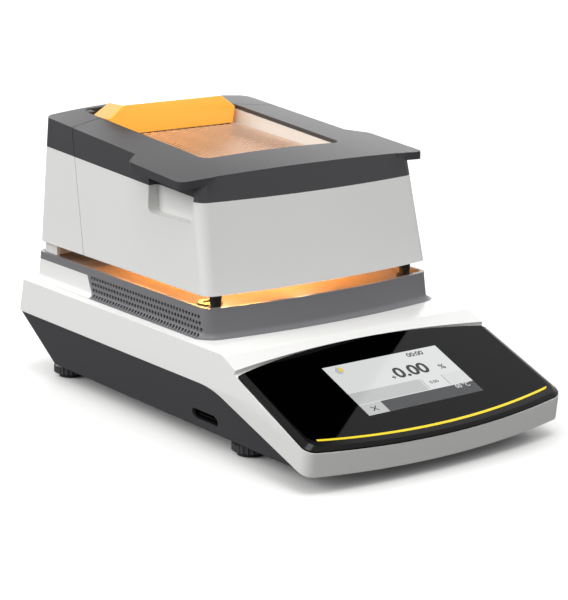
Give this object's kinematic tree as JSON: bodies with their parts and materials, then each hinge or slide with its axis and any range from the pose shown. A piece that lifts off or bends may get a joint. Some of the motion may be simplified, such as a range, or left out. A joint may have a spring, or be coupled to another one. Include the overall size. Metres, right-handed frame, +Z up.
{
  "type": "moisture analyzer",
  "caption": "Bench moisture analyzer: sample pan on a weigh cell under a hinged heated lid, with a sloped touch display and levelling feet.",
  "frame": {"origin": "on the surface it stands on, under the middle of the footprint", "axes": "+X to the right, -Y to the user, +Z up"},
  "size_m": [0.22, 0.3797, 0.2035],
  "materials": {
    "white_abs": "fine moulded grain, satin",
    "dark_abs": "fine moulded grain",
    "charcoal_abs": "fine moulded grain, satin",
    "grey_abs": "satin",
    "black_abs": "gloss",
    "black_glass": "polished, back printed",
    "yellow_line": "printed",
    "lcd": "lit display",
    "circuit_board": "solder mask",
    "steel": "brushed",
    "vial": "clear",
    "aluminium": "drawn",
    "rubber": "matt",
    "brass": "turned",
    "pale_metal": "satin lacquer",
    "amber": "tinted, polished",
    "quartz": "glowing quartz",
    "ceramic": "unglazed"
  },
  "bodies": {
    "base": {"base_cover": "white_abs", "base_tray": "dark_abs", "display_bezel": "black_abs", "display_glass": "black_glass", "accent_strip": "yellow_line", "lcd_module": "lcd", "display_board": "circuit_board", "main_board": "circuit_board", "power_board": "circuit_board", "socket_panel": "dark_abs", "power_inlet": "black_abs", "rear_port": "steel", "side_port": "black_abs", "chamber_collar": "grey_abs", "chamber_floor": "steel", "draft_ring": "steel", "level_vial": "vial", "weigh_cell": "aluminium", "cell_bracket": "steel", "bumper_seats": "rubber", "rear_housing": "white_abs", "rear_cover": "charcoal_abs", "hinge_bracket": "steel", "hinge_pin": "steel", "fan_frame": "black_abs", "tray_screws": "steel", "foot_inserts": "brass"},
    "lid": {"lid_shell": "white_abs", "lid_cover": "charcoal_abs", "well_liner": "pale_metal", "vent_screen": "steel", "amber_window": "amber", "window_frame": "charcoal_abs", "heat_reflector": "aluminium", "heater_tubes": "quartz", "lamp_holders": "ceramic", "guard_grid": "steel", "temperature_probe": "steel", "lid_bumpers": "rubber", "lid_liner": "steel"},
    "pan_carrier": {"pan_carrier": "aluminium"},
    "pan": {"pan_holder": "steel", "sample_pan": "aluminium"},
    "fan": {"fan_rotor": "black_abs"},
    "wheel_front_left": {"thumbwheel_front_left": "dark_abs"},
    "foot_front_left": {"foot_pad_front_left": "rubber"},
    "wheel_front_right": {"thumbwheel_front_right": "dark_abs"},
    "foot_front_right": {"foot_pad_front_right": "rubber"},
    "wheel_rear_left": {"thumbwheel_rear_left": "dark_abs"},
    "foot_rear_left": {"foot_pad_rear_left": "rubber"},
    "wheel_rear_right": {"thumbwheel_rear_right": "dark_abs"},
    "foot_rear_right": {"foot_pad_rear_right": "rubber"}
  },
  "joints": [
    {"name": "lid_hinge", "type": "hinge", "parent": "base", "child": "lid", "pos_m": [0, 0.162, 0.1924], "axis": [-1, 0, 0], "range_deg": [0, 70]},
    {"name": "carrier_travel", "type": "slide", "parent": "base", "child": "pan_carrier", "axis": [0, 0, -1], "range_m": [0, 0.0006], "stiffness_N_per_m": 6000, "springref_m": -0.0003},
    {"name": "pan_lift", "type": "slide", "parent": "pan_carrier", "child": "pan", "axis": [0, 0, 1], "range_m": [0, 0.012]},
    {"name": "fan_spin", "type": "hinge", "parent": "base", "child": "fan", "pos_m": [0, 0.16798, 0.14], "axis": [0, 1, 0], "continuous": true},
    {"name": "wheel_turn_front_left", "type": "hinge", "parent": "base", "child": "wheel_front_left", "pos_m": [-0.0855, -0.0855, 0.006], "axis": [0, 0, 1], "range_deg": [-360, 1440]},
    {"name": "foot_travel_front_left", "type": "slide", "parent": "base", "child": "foot_front_left", "axis": [0, 0, -1], "range_m": [-0.00125, 0.005]},
    {"name": "wheel_turn_front_right", "type": "hinge", "parent": "base", "child": "wheel_front_right", "pos_m": [0.0855, -0.0855, 0.006], "axis": [0, 0, 1], "range_deg": [-360, 1440]},
    {"name": "foot_travel_front_right", "type": "slide", "parent": "base", "child": "foot_front_right", "axis": [0, 0, -1], "range_m": [-0.00125, 0.005]},
    {"name": "wheel_turn_rear_left", "type": "hinge", "parent": "base", "child": "wheel_rear_left", "pos_m": [-0.0855, 0.147, 0.006], "axis": [0, 0, 1], "range_deg": [-360, 1440]},
    {"name": "foot_travel_rear_left", "type": "slide", "parent": "base", "child": "foot_rear_left", "axis": [0, 0, -1], "range_m": [-0.00125, 0.005]},
    {"name": "wheel_turn_rear_right", "type": "hinge", "parent": "base", "child": "wheel_rear_right", "pos_m": [0.0855, 0.147, 0.006], "axis": [0, 0, 1], "range_deg": [-360, 1440]},
    {"name": "foot_travel_rear_right", "type": "slide", "parent": "base", "child": "foot_rear_right", "axis": [0, 0, -1], "range_m": [-0.00125, 0.005]}
  ],
  "couplings": [
    {"joint": "wheel_turn_front_left", "follows": "foot_travel_front_left", "rad_per_m": 5026.5},
    {"joint": "wheel_turn_front_right", "follows": "foot_travel_front_right", "rad_per_m": 5026.5},
    {"joint": "wheel_turn_rear_left", "follows": "foot_travel_rear_left", "rad_per_m": 5026.5},
    {"joint": "wheel_turn_rear_right", "follows": "foot_travel_rear_right", "rad_per_m": 5026.5}
  ]
}
